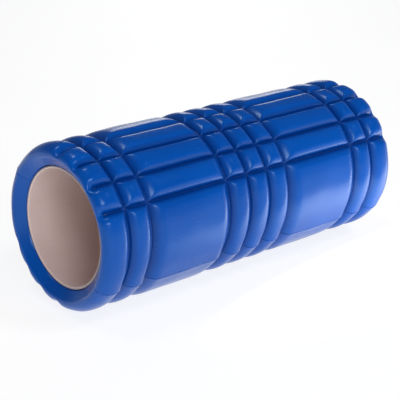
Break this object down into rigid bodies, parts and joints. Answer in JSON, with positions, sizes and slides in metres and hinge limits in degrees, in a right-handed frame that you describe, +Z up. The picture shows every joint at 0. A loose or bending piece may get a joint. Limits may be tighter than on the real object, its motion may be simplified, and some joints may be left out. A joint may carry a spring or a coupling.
{
  "type": "foam roller",
  "caption": "Hollow massage roller: padded foam half shells with a grid of grooves, bonded round a rigid core tube open at both ends.",
  "frame": {"origin": "middle of the roller, on its axis", "axes": "+X along the roller's axis, +Z up as the roller lies on its side, -Y towards the side with the low front seam"},
  "size_m": [0.33, 0.1398, 0.1398],
  "materials": {
    "foam": "blue moulded EVA foam with a smooth satin-gloss skin",
    "tube": "pale warm-grey extruded PVC, satin",
    "adhesive": "thin cured contact adhesive"
  },
  "bodies": {
    "root": {"core_tube": "tube", "foam_shell_upper": "foam", "foam_shell_lower": "foam", "adhesive_film_upper": "adhesive", "adhesive_film_lower": "adhesive", "seam_bond_front": "adhesive", "seam_bond_rear": "adhesive"}
  },
  "joints": []
}
